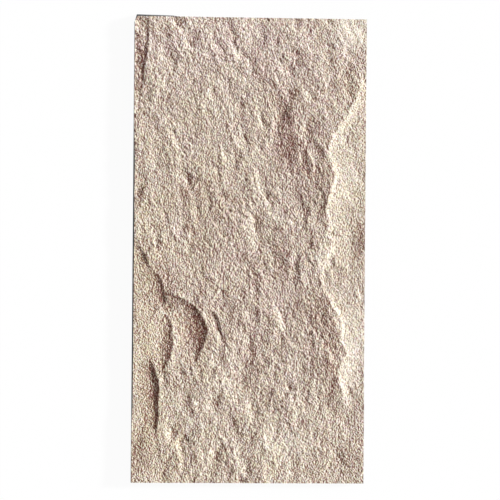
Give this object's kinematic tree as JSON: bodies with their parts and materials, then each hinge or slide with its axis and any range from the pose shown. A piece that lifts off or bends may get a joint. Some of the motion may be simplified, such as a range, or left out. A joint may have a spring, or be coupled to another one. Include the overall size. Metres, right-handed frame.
{
  "type": "faux stone wall panel",
  "caption": "Rectangular moulded foam wall panel with a split-rock front: a high middle, ledges, cracks and a scooped hollow; flat back and square edges.",
  "frame": {"origin": "middle of the flat back face, where the panel rests and is glued", "axes": "+X across the panel to the right as seen from the front, +Y along its length to the top, +Z out of the wall through the rough front"},
  "size_m": [0.6, 1.2, 0.0489],
  "materials": {
    "painted_foam": "rigid moulded polyurethane foam with a matt sand and mauve-brown stone paint, rough like split rock"
  },
  "bodies": {
    "root": {"stone_panel": "painted_foam"}
  },
  "joints": []
}
